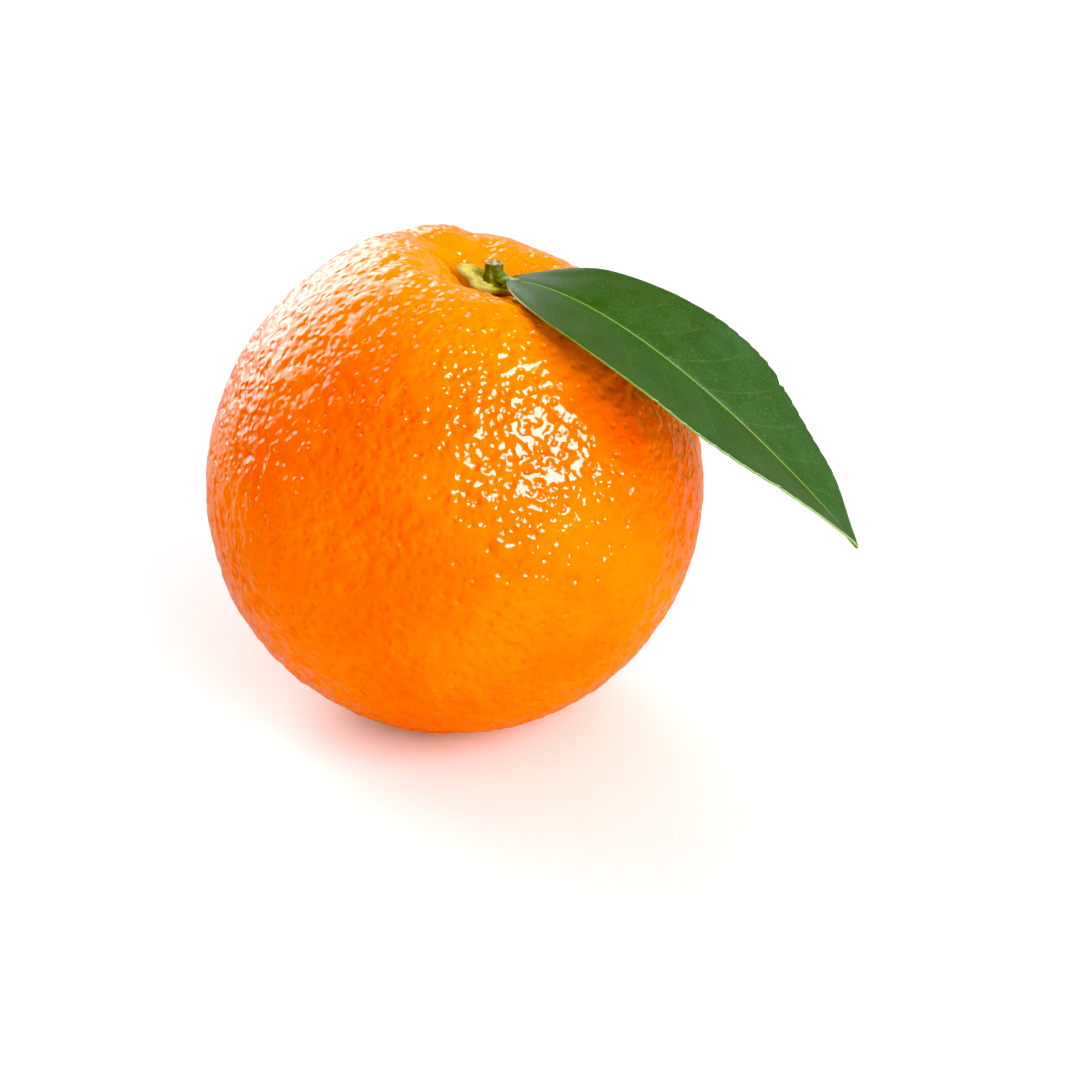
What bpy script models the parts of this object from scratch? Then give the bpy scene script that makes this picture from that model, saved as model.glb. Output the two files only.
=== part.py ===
"""A whole sweet orange, standing on the flat spot that it rests on, with its green button (the calyx),
a stub of its stem, and one leaf on a short leaf stalk.

Metres, +Z up. The origin is the middle of the flat spot, the leaf reaches out over +X, and -Y is the fruit's
front. Each of the five pieces is one object and one closed solid, and CLEAR is the gap between two of them.
"""

import math

import bmesh
import bpy
from mathutils import Matrix, Quaternion, Vector

# ---- The fruit: its size, and how it stands ----
EQUATOR_RADIUS = 0.0391
STEM_END_RADIUS = 0.0400
BLOSSOM_END_RADIUS = 0.0391
CENTRE_HEIGHT = 0.0380
STEM_LEANS_RIGHT = math.radians(10.5)
STEM_LEANS_FORWARD = math.radians(0)
CLEAR = 0.0003

# ---- The hollow that the button sits in, and the low shoulder round it ----
HOLLOW_DEPTH = 0.0068
HOLLOW_FLOOR_RADIUS = 0.0030
HOLLOW_SPREAD = math.radians(12)
SHOULDER_RISE = 0.0007
SHOULDER_ANGLE = math.radians(27)
SHOULDER_SPREAD = math.radians(11)

# Furrows that run out of the hollow: heading, depth, half width, and how far down the fruit they reach.
FURROWS = (
    (math.radians(140), 0.0026, 0.0030, math.radians(25)),
    (math.radians(103), 0.0016, 0.0022, math.radians(38)),
    (math.radians(38), 0.0012, 0.0026, math.radians(24)),
    (math.radians(-10), 0.0010, 0.0030, math.radians(22)),
    (math.radians(-78), 0.0010, 0.0022, math.radians(22)),
    (math.radians(-140), 0.0007, 0.0026, math.radians(20)),
)
FURROWS_START = math.radians(9)
# Broad swells and flats of the fruit: heading, angle from the stem, rise, and spread.
SWELLS = (
    (math.radians(180), math.radians(45), 0.0005, math.radians(26)),
    (math.radians(110), math.radians(38), 0.0014, math.radians(20)),
    (math.radians(58), math.radians(34), -0.0011, math.radians(22)),
    (math.radians(146), math.radians(40), 0.0004, math.radians(12)),
    (math.radians(180), math.radians(86), -0.0001, math.radians(26)),
    (math.radians(-20), math.radians(66), -0.0004, math.radians(14)),
    (math.radians(180), math.radians(130), 0.0003, math.radians(28)),
)
HEADINGS = 64
RINGS = 40
# Rings crowd towards the stem end by this power, because the fruit has its finest shape there.
RING_POWER = 1.3

# ---- The button: a five-lobed plate that follows the hollow ----
BUTTON_RADIUS = 0.0034
BUTTON_THICKNESS = 0.0009
# The fruit's flat facets stand a little over its true hollow, so the button keeps this far above it.
BUTTON_LIFT = 0.0005
LOBE_REACH = 0.0026
LOBE_WIDTH = math.radians(24)
LOBE_HEADINGS = tuple(math.radians(degrees) for degrees in (165, 242, 314, 26, 98))
BUTTON_SPOKES = 60
BUTTON_STEPS = 7

# ---- The stem stub ----
STEM_RADIUS = 0.00145
STEM_FOOT_RADIUS = 0.0021
STEM_HEIGHT = 0.0031
STEM_LEANS_BACK = math.radians(9)
STEM_OFF_CENTRE = 0.0004
STEM_SIDES = 24

# ---- The leaf: a curved midrib, and a blade folded a little up about it ----
LEAF_BASE = Vector((0.0077, -0.0031, 0.0735))
LEAF_RISES_TO = Vector((0.0233, -0.0213, 0.0797))
LEAF_FALLS_FROM = Vector((0.0510, -0.0271, 0.0514))
LEAF_TIP = Vector((0.0601, -0.0258, 0.0396))
LEAF_HALF_WIDTH = 0.0144
LEAF_THICKNESS = 0.00035
LEAF_BASE_POWER = 0.89
LEAF_TIP_POWER = 0.91
LEAF_END_HALF_WIDTH = 0.0004
# The blade's roll about the midrib, and the rise of each half from it, at the foot and at the tip.
LEAF_ROLL = (math.radians(5), math.radians(6))
LEAF_FOLD = (math.radians(4), math.radians(14))
LEAF_STEPS_ALONG = 30
LEAF_STEPS_ACROSS = 8

# ---- The leaf stalk, from the stem's side to under the foot of the midrib ----
STALK_RADIUS = 0.00065
STALK_HEADING = math.radians(-62)
STALK_ENDS_AT = 0.03


def bell(distance, spread):
    return math.exp(-((distance / spread) ** 2))


def angle_between(heading, other):
    return abs((heading - other + math.pi) % (2 * math.pi) - math.pi)


def part_from_fruit():
    """From the upright fruit, its centre at the origin and its stem along +Z, to where it stands."""
    forward = Quaternion(Vector((1, 0, 0)), STEM_LEANS_FORWARD)
    right = Quaternion(Vector((0, 1, 0)), STEM_LEANS_RIGHT)
    return Matrix.Translation((0, 0, CENTRE_HEIGHT)) @ (forward @ right).to_matrix().to_4x4()


def peel_radius(heading, from_stem):
    """How far the peel is from the fruit's centre, at a heading and an angle from the stem."""
    end_radius = STEM_END_RADIUS if from_stem < math.pi / 2 else BLOSSOM_END_RADIUS
    radius = 1 / math.hypot(math.sin(from_stem) / EQUATOR_RADIUS, math.cos(from_stem) / end_radius)
    past_floor = max(0.0, from_stem - HOLLOW_FLOOR_RADIUS / STEM_END_RADIUS)
    radius -= HOLLOW_DEPTH * bell(past_floor, HOLLOW_SPREAD)
    radius += SHOULDER_RISE * bell(from_stem - SHOULDER_ANGLE, SHOULDER_SPREAD)
    for furrow, depth, half_width, reach in FURROWS:
        turn = angle_between(heading, furrow)
        if turn < math.pi / 2:
            across = EQUATOR_RADIUS * math.sin(from_stem) * math.sin(turn)
            along = min(1.0, from_stem / FURROWS_START) * bell(from_stem, reach)
            radius -= depth * along * bell(across, half_width)
    for swell, swell_angle, rise, spread in SWELLS:
        cosine = math.cos(from_stem) * math.cos(swell_angle)
        cosine += math.sin(from_stem) * math.sin(swell_angle) * math.cos(heading - swell)
        radius += rise * bell(math.acos(max(-1.0, min(1.0, cosine))), spread)
    return radius


def above_peel(heading, from_stem, height):
    """The point at a height over the peel, in the fruit's own frame."""
    outward = Vector((math.sin(from_stem), 0, math.cos(from_stem)))
    outward.rotate(Quaternion(Vector((0, 0, 1)), heading))
    return outward * (peel_radius(heading, from_stem) + height)


def polar(point):
    """The heading of a point and its angle from +Z."""
    return math.atan2(point.y, point.x), math.atan2(math.hypot(point.x, point.y), point.z)


def material(name, colour, roughness):
    made = bpy.data.materials.new(name)
    made.use_nodes = True
    shader = made.node_tree.nodes["Principled BSDF"]
    shader.inputs["Base Color"].default_value = (*colour, 1)
    shader.inputs["Roughness"].default_value = roughness
    return made


def piece(name, shape, finish):
    """A smooth-shaded object from a bmesh, which is freed."""
    mesh = bpy.data.meshes.new(name)
    shape.to_mesh(mesh)
    shape.free()
    mesh.shade_smooth()
    mesh.materials.append(finish)
    made = bpy.data.objects.new(name, mesh)
    bpy.context.scene.collection.objects.link(made)
    return made


def make_fruit():
    """A sphere drawn out to the peel's shape, then cut flat where it rests."""
    shape = bmesh.new()
    bmesh.ops.create_uvsphere(shape, u_segments=HEADINGS, v_segments=RINGS, radius=1)
    for vertex in shape.verts:
        heading, even_angle = polar(vertex.co)
        from_stem = math.pi * (even_angle / math.pi) ** RING_POWER
        vertex.co = above_peel(heading, from_stem, 0)
    shape.transform(part_from_fruit())
    everything = shape.verts[:] + shape.edges[:] + shape.faces[:]
    ground = (0, 0, 0)
    down = (0, 0, -1)
    cut = bmesh.ops.bisect_plane(shape, geom=everything, plane_co=ground, plane_no=down, clear_outer=True)
    rim = [element for element in cut["geom_cut"] if isinstance(element, bmesh.types.BMEdge)]
    bmesh.ops.contextual_create(shape, geom=rim)
    bmesh.ops.recalc_face_normals(shape, faces=shape.faces)
    fruit = piece("fruit", shape, material("peel", (0.95, 0.24, 0.01), 0.3))
    for face in fruit.data.polygons:
        face.use_smooth = len(face.vertices) <= 4
    return fruit


def button_reach(heading):
    """How far the button reaches from the stem, which is furthest along its five lobes."""
    lobes = sum(bell(angle_between(heading, lobe), LOBE_WIDTH) for lobe in LOBE_HEADINGS)
    return BUTTON_RADIUS + LOBE_REACH * min(1.0, lobes)


def make_button():
    """A spun disc, drawn out into lobes, laid over the hollow and thickened outwards."""
    shape = bmesh.new()
    spoke = [shape.verts.new((step / BUTTON_STEPS, 0, 0)) for step in range(BUTTON_STEPS + 1)]
    edges = [shape.edges.new(pair) for pair in zip(spoke, spoke[1:])]
    bmesh.ops.spin(
        shape,
        geom=spoke + edges,
        axis=(0, 0, 1),
        cent=(0, 0, 0),
        angle=2 * math.pi,
        steps=BUTTON_SPOKES,
        use_merge=True,
    )
    bmesh.ops.remove_doubles(shape, verts=shape.verts, dist=1e-5)
    for vertex in shape.verts:
        heading, _ = polar(vertex.co)
        reach = vertex.co.length * button_reach(heading)
        vertex.co = above_peel(heading, reach / (STEM_END_RADIUS - HOLLOW_DEPTH), BUTTON_LIFT)
    shape.transform(part_from_fruit())
    bmesh.ops.recalc_face_normals(shape, faces=shape.faces)
    button = piece("calyx", shape, material("button", (0.35, 0.40, 0.05), 0.5))
    wall = button.modifiers.new("thickness", "SOLIDIFY")
    wall.thickness = BUTTON_THICKNESS
    wall.offset = 1
    return button


def stem_foot_height():
    """The height of the stem's foot over the hollow's floor."""
    return BUTTON_LIFT + BUTTON_THICKNESS + CLEAR


def make_stem():
    """A turned stub that widens to its foot on the button and leans back to the upright."""
    shape = bmesh.new()
    foot = Vector((-STEM_OFF_CENTRE, 0, peel_radius(0, 0) + stem_foot_height()))
    profile = (
        (0, 0),
        (STEM_FOOT_RADIUS, 0),
        (0.6 * STEM_FOOT_RADIUS + 0.4 * STEM_RADIUS, 0.12 * STEM_HEIGHT),
        (STEM_RADIUS, 0.35 * STEM_HEIGHT),
        (STEM_RADIUS, 0.92 * STEM_HEIGHT),
        (0.88 * STEM_RADIUS, STEM_HEIGHT),
        (0, STEM_HEIGHT),
    )
    points = [shape.verts.new((radius, 0, height)) for radius, height in profile]
    edges = [shape.edges.new(pair) for pair in zip(points, points[1:])]
    bmesh.ops.spin(
        shape,
        geom=points + edges,
        axis=(0, 0, 1),
        cent=(0, 0, 0),
        angle=2 * math.pi,
        steps=STEM_SIDES,
        use_merge=True,
    )
    bmesh.ops.remove_doubles(shape, verts=shape.verts, dist=1e-6)
    for vertex in shape.verts:
        vertex.co.x -= vertex.co.z * math.tan(STEM_LEANS_BACK)
    shape.transform(part_from_fruit() @ Matrix.Translation(foot))
    bmesh.ops.recalc_face_normals(shape, faces=shape.faces)
    return piece("stem", shape, material("stem", (0.20, 0.23, 0.06), 0.7))


def midrib(share):
    """The midrib's point and direction at a share of its length, from the leaf's foot to its tip."""
    back = 1 - share
    point = LEAF_BASE * back**3
    point += LEAF_RISES_TO * (3 * share * back**2)
    point += LEAF_FALLS_FROM * (3 * share**2 * back)
    point += LEAF_TIP * share**3
    along = (LEAF_RISES_TO - LEAF_BASE) * back**2
    along += (LEAF_FALLS_FROM - LEAF_RISES_TO) * (2 * share * back)
    along += (LEAF_TIP - LEAF_FALLS_FROM) * share**2
    return point, along.normalized()


def blade_half_width(share):
    """The blade's half width at a share of its length."""
    widest = LEAF_BASE_POWER / (LEAF_BASE_POWER + LEAF_TIP_POWER)
    rising = (share / widest) ** LEAF_BASE_POWER
    falling = ((1 - share) / (1 - widest)) ** LEAF_TIP_POWER
    return max(LEAF_END_HALF_WIDTH, LEAF_HALF_WIDTH * rising * falling)


def blade_point(share, side):
    """A point on the blade's upper face, where side runs from -1, the near margin, to 1, the far one."""
    point, along = midrib(share)
    level = Vector((0, 0, 1)).cross(along).normalized()
    roll = LEAF_ROLL[0] + (LEAF_ROLL[1] - LEAF_ROLL[0]) * share
    fold = LEAF_FOLD[0] + (LEAF_FOLD[1] - LEAF_FOLD[0]) * share
    level.rotate(Quaternion(along, roll))
    upward = along.cross(level)
    across = level * (side * math.cos(fold)) + upward * (abs(side) * math.sin(fold))
    return point + across * blade_half_width(share)


def make_leaf():
    """A flat grid bent to the blade's upper face and thickened downwards."""
    shape = bmesh.new()
    bmesh.ops.create_grid(shape, x_segments=LEAF_STEPS_ALONG, y_segments=LEAF_STEPS_ACROSS, size=1)
    for vertex in shape.verts:
        vertex.co = blade_point((vertex.co.x + 1) / 2, vertex.co.y)
    leaf = piece("leaf", shape, material("leaf", (0.07, 0.19, 0.05), 0.35))
    wall = leaf.modifiers.new("thickness", "SOLIDIFY")
    wall.thickness = LEAF_THICKNESS
    wall.offset = -1
    return leaf


def make_stalk():
    """A short round stalk from beside the stem to under the foot of the midrib."""
    shape = bpy.data.curves.new("petiole", "CURVE")
    shape.dimensions = "3D"
    shape.bevel_depth = STALK_RADIUS
    shape.bevel_resolution = 3
    shape.resolution_u = 6
    shape.use_fill_caps = True
    sideways = Vector((math.cos(STALK_HEADING), math.sin(STALK_HEADING), 0))
    beside_stem = sideways * (STEM_FOOT_RADIUS + CLEAR)
    beside_stem.z = peel_radius(0, 0) + stem_foot_height() + STALK_RADIUS
    start = part_from_fruit() @ beside_stem
    out_of_stem = part_from_fruit().to_3x3() @ sideways
    end_point, end_along = midrib(STALK_ENDS_AT)
    end = end_point - Vector((0, 0, LEAF_THICKNESS + CLEAR + STALK_RADIUS))
    spline = shape.splines.new("BEZIER")
    spline.bezier_points.add(1)
    reach = (end - start).length / 3
    for point, place, heading in zip(spline.bezier_points, (start, end), (out_of_stem, end_along)):
        point.co = place
        point.handle_left = place - heading * reach
        point.handle_right = place + heading * reach
    shape.materials.append(material("stalk", (0.16, 0.27, 0.06), 0.5))
    stalk = bpy.data.objects.new("petiole", shape)
    bpy.context.scene.collection.objects.link(stalk)
    return stalk


def main():
    for old in list(bpy.data.objects):
        bpy.data.objects.remove(old)
    make_fruit()
    make_button()
    make_stem()
    make_stalk()
    make_leaf()


main()
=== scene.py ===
"""The finished looks of a sweet orange with its button, stem stub, leaf stalk and leaf.

It is laid out as an add-on: the settings hold the sizes and colours, one operator builds each piece round the
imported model, and one sets the stage. Run as a script, it builds everything in order. Lengths are in metres.
"""

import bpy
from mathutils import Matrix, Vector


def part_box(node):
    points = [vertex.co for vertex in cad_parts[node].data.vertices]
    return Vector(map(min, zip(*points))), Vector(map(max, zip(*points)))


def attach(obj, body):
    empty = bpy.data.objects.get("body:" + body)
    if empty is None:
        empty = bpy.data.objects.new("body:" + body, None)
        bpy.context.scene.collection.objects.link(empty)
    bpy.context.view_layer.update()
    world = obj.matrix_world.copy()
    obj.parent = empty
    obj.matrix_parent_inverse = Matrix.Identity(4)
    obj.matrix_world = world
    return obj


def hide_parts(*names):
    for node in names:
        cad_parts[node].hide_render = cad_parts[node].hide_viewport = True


bl_info = {
    "name": "Sweet Orange",
    "version": (1, 0, 0),
    "blender": (4, 5, 0),
    "location": "3D View > Sidebar > Orange",
    "description": "Builds a sweet orange with its button, stem stub and leaf",
    "category": "Add Mesh",
}

import math

import bmesh
import bpy
import numpy as np
from bpy.props import FloatProperty, FloatVectorProperty, IntProperty, PointerProperty
from mathutils import Matrix, Quaternion, Vector, noise
from mathutils.bvhtree import BVHTree
from mathutils.kdtree import KDTree

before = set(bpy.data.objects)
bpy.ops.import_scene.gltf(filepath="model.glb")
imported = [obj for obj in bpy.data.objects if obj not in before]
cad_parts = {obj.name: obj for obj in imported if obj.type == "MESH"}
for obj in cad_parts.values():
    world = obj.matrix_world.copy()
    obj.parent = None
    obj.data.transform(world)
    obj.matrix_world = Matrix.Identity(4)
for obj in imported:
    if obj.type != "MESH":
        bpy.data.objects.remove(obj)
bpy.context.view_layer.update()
FRUIT_LOW, FRUIT_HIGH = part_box("fruit")
FRUIT_CENTRE = (FRUIT_LOW + FRUIT_HIGH) / 2
FRUIT_RADIUS = (FRUIT_HIGH.x - FRUIT_LOW.x) / 2
UP = Vector((0, 0, 1))
ROOT = "root"
# Corners closer than this are one corner.
SAME_PLACE = 1e-6


# ---- Settings ----


def length(name, text, default):
    return FloatProperty(name=name, description=text, default=default, min=0, precision=6, unit="LENGTH")


def share(name, text, default):
    return FloatProperty(name=name, description=text, default=default, min=0, max=1, subtype="FACTOR")


def colour(name, text, default):
    limits = {"min": 0, "max": 1, "size": 3}
    return FloatVectorProperty(name=name, description=text, default=default, subtype="COLOR", **limits)


def angle(name, text, degrees):
    return FloatProperty(name=name, description=text, default=math.radians(degrees), subtype="ANGLE")


def place(name, text, default):
    limits = {"size": 3, "precision": 5}
    return FloatVectorProperty(name=name, description=text, default=default, subtype="TRANSLATION", **limits)


class OrangePeelSettings(bpy.types.PropertyGroup):
    """The peel's relief and colours."""

    seed: IntProperty(name="Seed", description="Which scatter of oil pits is made", default=7, min=0)
    scatter: share("Scatter", "How far a pit strays from an even spread, in pit spacings", 0.33)
    pit_depth: length("Pit depth", "How deep an average oil pit sinks", 0.00006)
    pit_radius: length("Pit radius", "How far a pit's steep middle reaches", 0.00045)
    dip_depth: length("Dip depth", "How deep the shallow dip round a pit sinks", 0.00019)
    dip_radius: length("Dip radius", "How far the shallow dip round a pit reaches", 0.00080)
    gland_size: length("Gland size", "Spacing of the fine dimples over the oil glands", 0.0015)
    gland_depth: length("Gland depth", "Depth of the fine dimples over the oil glands", 0.00022)
    pebble_height: length("Pebble height", "Rise of the small swells between pits", 0.00016)
    pebble_size: length("Pebble size", "Size of the small swells between pits", 0.0023)
    peel_rise: length("Peel rise", "Evens out what the pits take from the peel", 0.00012)
    lump_height: length("Lump height", "Rise of the broad lumps", 0.00020)
    lump_size: length("Lump size", "Size of the broad lumps", 0.0085)
    deep_colour: colour("Deep colour", "The darker orange of the peel", (0.90, 0.098, 0.001))
    light_colour: colour("Light colour", "The lighter orange of the peel", (0.94, 0.138, 0.001))
    # Painted shade: a darker, redder orange laid into the oil pits, where shade falls.
    pit_shade_colour: colour("Pit shade colour", "The redder orange down in a pit", (0.80, 0.080, 0.001))
    hollow_colour: colour("Hollow colour", "The yellower orange round the button", (0.93, 0.285, 0.002))
    scar_colour: colour("Scar colour", "The corky mark at the blossom end", (0.30, 0.170, 0.055))


class OrangeButtonSettings(bpy.types.PropertyGroup):
    """The button, the stem stub and the leaf stalk."""

    stem_lean: angle("Fruit lean", "How far the fruit's stem end leans towards +X", 10.5)
    plate_radius: length("Plate radius", "Radius of the button between its lobes", 0.0036)
    lobe_reach: length("Lobe reach", "How far a lobe reaches past the plate", 0.0025)
    lobe_width: angle("Lobe width", "Spread of a lobe about its heading", 26)
    plate_thickness: length("Plate thickness", "Thickness of the button beside the stem", 0.0019)
    rim_thickness: length("Rim thickness", "Thickness of the button near its rim", 0.0006)
    rim_lift: length("Rim lift", "How far the lobes' ends stand off the peel", 0.00030)
    stem_radius: length("Stem radius", "Radius of the stem stub", 0.00145)
    stem_height: length("Stem height", "Height of the stem stub over the button", 0.0027)
    stem_shift: length("Stem shift", "How far the stem stands off the hollow's middle", 0.0004)
    stem_ribs: IntProperty(name="Stem ribs", description="Ribs round the stem stub", default=9, min=3)
    plate_green: colour("Plate green", "The green part of the button", (0.36, 0.37, 0.075))
    plate_yellow: colour("Plate yellow", "The ripe yellow part of the button", (0.92, 0.70, 0.110))
    dry_brown: colour("Dry brown", "Dried edges and scars", (0.30, 0.17, 0.06))
    stem_green: colour("Stem green", "The stem's bark", (0.085, 0.105, 0.040))
    cut_pale: colour("Cut wood", "The stem's cut end", (0.50, 0.47, 0.38))


class OrangeLeafSettings(bpy.types.PropertyGroup):
    """The leaf's shape and colours."""

    foot: place("Foot", "Where the blade starts", (0.0077, -0.0031, 0.0735))
    rise: place("Rise", "The point that the midrib rises towards", (0.0233, -0.0213, 0.0797))
    fall: place("Fall", "The point that the midrib falls from", (0.0510, -0.0271, 0.0514))
    tip: place("Tip", "Where the blade ends", (0.0601, -0.0258, 0.0396))
    half_width: length("Half width", "Half of the blade's greatest width", 0.0144)
    thickness: length("Thickness", "Thickness of the blade away from the midrib", 0.00032)
    rib_thickness: length("Rib thickness", "Thickness through the midrib at the foot", 0.0013)
    vein_pairs: IntProperty(name="Vein pairs", description="Side veins on each half", default=11, min=1)
    tooth_size: length("Tooth size", "Spacing of the fine teeth on the margin", 0.0021)
    upper_colour: colour("Upper colour", "The upper face", (0.014, 0.064, 0.029))
    upper_light: colour("Upper light colour", "The lighter patches of the upper face", (0.020, 0.081, 0.035))
    vein_colour: colour("Vein colour", "The midrib and the veins", (0.20, 0.34, 0.08))
    under_colour: colour("Under colour", "The lower face", (0.17, 0.28, 0.10))
    # Painted highlight: the pale edge near the foot stands for light caught along the blade's rim.
    margin_highlight_colour: colour("Margin highlight colour", "The pale edge near the foot", (0.75, 0.78, 0.60))


class OrangeStageSettings(bpy.types.PropertyGroup):
    """The camera and the lights."""

    aim: place("Aim", "The middle of the fruit, which the camera circles", (0, 0, 0.038))
    elevation: angle("Elevation", "How far the camera looks down", 24)
    distance: length("Distance", "From the camera to the middle of the fruit", 0.403)
    turn_right: angle("Turn right", "Turn of the camera off the fruit's middle", 1.9)
    turn_down: angle("Turn down", "Tilt of the camera off the fruit's middle", 1.23)
    lens: FloatProperty(name="Lens", description="Focal length in millimetres", default=85, min=1)
    floor_colour: colour("Floor colour", "The pale floor", (0.90, 0.90, 0.90))


# ---- Helpers for meshes ----


def bell(distance, spread):
    return math.exp(-((distance / spread) ** 2))


def blend_between(value, low, high):
    """From 0 at low to 1 at high, smoothly."""
    ratio = max(0.0, min(1.0, (value - low) / (high - low)))
    return ratio * ratio * (3 - 2 * ratio)


def angle_between(heading, other):
    return abs((heading - other + math.pi) % (2 * math.pi) - math.pi)


def bezier(ends, ratio):
    """A point and a direction on a curve through the first and last of four points."""
    back = 1 - ratio
    point = ends[0] * back**3 + ends[1] * (3 * ratio * back**2)
    point += ends[2] * (3 * ratio**2 * back) + ends[3] * ratio**3
    along = (ends[1] - ends[0]) * back**2 + (ends[2] - ends[1]) * (2 * ratio * back)
    along += (ends[3] - ends[2]) * ratio**2
    return point, along.normalized()


def new_piece(name, shape, materials):
    """A smooth-shaded object at the origin, from a bmesh, which is freed."""
    mesh = bpy.data.meshes.new(name)
    shape.to_mesh(mesh)
    shape.free()
    mesh.shade_smooth()
    for finish in materials:
        mesh.materials.append(finish)
    piece = bpy.data.objects.new(name, mesh)
    bpy.context.scene.collection.objects.link(piece)
    return piece


def settle(piece, node):
    """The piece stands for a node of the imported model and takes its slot."""
    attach(piece, ROOT)
    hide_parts(node)


def spin_profile(shape, profile, steps):
    """Turns a profile of (radius, height) points about +Z."""
    points = [shape.verts.new((radius, 0, height)) for radius, height in profile]
    edges = [shape.edges.new(pair) for pair in zip(points, points[1:])]
    bmesh.ops.spin(
        shape,
        geom=points + edges,
        axis=UP,
        cent=(0, 0, 0),
        angle=2 * math.pi,
        steps=steps,
        use_merge=True,
    )
    bmesh.ops.remove_doubles(shape, verts=shape.verts, dist=SAME_PLACE)
    bmesh.ops.recalc_face_normals(shape, faces=shape.faces)


def add_values(piece, name, values):
    """Keeps one number for each vertex, which a material can read."""
    attribute = piece.data.attributes.new(name, "FLOAT", "POINT")
    attribute.data.foreach_set("value", np.asarray(values, np.float32))


def rounded_tree(node):
    """A ray-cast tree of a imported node, rounded so that its facets don't show."""
    shape = bmesh.new()
    shape.from_mesh(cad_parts[node].data)
    bmesh.ops.remove_doubles(shape, verts=shape.verts, dist=SAME_PLACE)
    bmesh.ops.join_triangles(
        shape,
        faces=shape.faces,
        angle_face_threshold=math.radians(20),
        angle_shape_threshold=math.radians(60),
    )
    helper = new_piece("rounded_" + node, shape, ())
    rounding = helper.modifiers.new("rounding", "SUBSURF")
    rounding.levels = rounding.render_levels = 2
    tree = BVHTree.FromObject(helper, bpy.context.evaluated_depsgraph_get())
    mesh = helper.data
    bpy.data.objects.remove(helper)
    bpy.data.meshes.remove(mesh)
    return tree


# ---- Helpers for materials ----

# The Mix node has the same sockets once for each kind of data. These are the places of its colours.
MIX_COLOURS = (6, 7)
MIX_RESULT = 2


def put(tree, kind, inputs=None, **settings):
    """Adds a node. An input given as a socket is linked to it, and one given as a value is set."""
    node = tree.nodes.new(kind)
    node.location = (200 * (len(tree.nodes) % 8), -220 * (len(tree.nodes) // 8))
    for key, value in settings.items():
        setattr(node, key, value)
    for key, value in (inputs or {}).items():
        if isinstance(value, bpy.types.NodeSocket):
            tree.links.new(value, node.inputs[key])
        else:
            node.inputs[key].default_value = value
    return node


def maths(tree, operation, first, second=0.0):
    return put(tree, "ShaderNodeMath", {0: first, 1: second}, operation=operation).outputs[0]


def ramp(tree, value, low, high, to_low=0.0, to_high=1.0):
    """The value's smooth rise from low to high."""
    inputs = {"Value": value, "From Min": low, "From Max": high, "To Min": to_low, "To Max": to_high}
    return put(tree, "ShaderNodeMapRange", inputs, interpolation_type="SMOOTHSTEP").outputs["Result"]


def mix(tree, factor, first, second):
    """A colour between two others. Each is a socket or an RGB colour."""
    sides = [side if isinstance(side, bpy.types.NodeSocket) else (*side, 1) for side in (first, second)]
    inputs = {"Factor": factor, MIX_COLOURS[0]: sides[0], MIX_COLOURS[1]: sides[1]}
    return put(tree, "ShaderNodeMix", inputs, data_type="RGBA").outputs[MIX_RESULT]


def noise_of(tree, vector, size, detail=2.0, roughness=0.5):
    """Noise whose swells are about this size, in metres."""
    inputs = {"Vector": vector, "Scale": 1 / size, "Detail": detail, "Roughness": roughness}
    return put(tree, "ShaderNodeTexNoise", inputs).outputs["Fac"]


def distance_from(tree, vector, point):
    return put(tree, "ShaderNodeVectorMath", {0: vector, 1: point}, operation="DISTANCE").outputs["Value"]


def bump(tree, height, distance, strength=1.0, normal=None):
    inputs = {"Height": height, "Distance": distance, "Strength": strength}
    if normal is not None:
        inputs["Normal"] = normal
    return put(tree, "ShaderNodeBump", inputs).outputs["Normal"]


def new_material(name):
    """An empty Principled material, its node tree, its shader and the Object coordinates."""
    made = bpy.data.materials.new(name)
    made.use_nodes = True
    tree = made.node_tree
    coordinates = put(tree, "ShaderNodeTexCoord").outputs["Object"]
    return made, tree, tree.nodes["Principled BSDF"], coordinates


def connect(tree, shader, **sockets):
    for name, socket in sockets.items():
        tree.links.new(socket, shader.inputs[name.replace("_", " ")])


# ---- The fruit ----

PIT_LEVEL = 6
EDGE_CUTS = 2
# A pit's strength is at least the first of these, and at most both together.
PIT_STRENGTHS = (0.10, 1.5)
# A pit's dip is left out past this many times its reach.
DIP_END = 2.2
# How much higher the small swells are round the hollow, and how far from its middle that reaches.
BROW_GAIN = 0.9
BROW_REACH = 0.016
# The finer swells' size and height, as shares of the small swells' own.
FINER_SIZE = 0.45
FINER_HEIGHT = 0.4
# The fine relief is flattened where the fruit stands, up to this height.
FOOT_HEIGHT = 0.0009
# Sizes and depths of the peel's unevenness that is too fine for the mesh.
WAVE_SIZE, WAVE_DEPTH = 0.0022, 0.00038
GRAIN_SIZE, GRAIN_DEPTH = 0.0012, 0.00014
# The hollow's colour has its middle at this share of the way to the stem end, and fades out between these
# distances from there.
HOLLOW_MIDDLE = 0.85
HOLLOW_FADE = (0.004, 0.038)


def scattered_pits(settings):
    """A sphere with a corner at every oil pit, strewn unevenly, and how strong each pit is."""
    shape = bmesh.new()
    bmesh.ops.create_icosphere(shape, subdivisions=PIT_LEVEL, radius=1)
    chance = np.random.RandomState(settings.seed)
    spacing = math.sqrt(4 * math.pi / len(shape.verts))
    strays = chance.uniform(-1, 1, (len(shape.verts), 3)) * settings.scatter * spacing
    for vertex, stray in zip(shape.verts, strays):
        vertex.co = (vertex.co + Vector(stray)).normalized()
    strengths = PIT_STRENGTHS[0] + PIT_STRENGTHS[1] * chance.uniform(0, 1, len(shape.verts)) ** 2
    pits = [vertex.co.normalized() for vertex in shape.verts]
    bmesh.ops.subdivide_edges(shape, edges=shape.edges, cuts=EDGE_CUTS, use_grid_fill=True)
    return shape, pits, strengths


def pit_finder(pits):
    finder = KDTree(len(pits))
    for index, pit in enumerate(pits):
        finder.insert(pit, index)
    finder.balance()
    return finder


def swell(point, size):
    return noise.noise(point / size)


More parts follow.
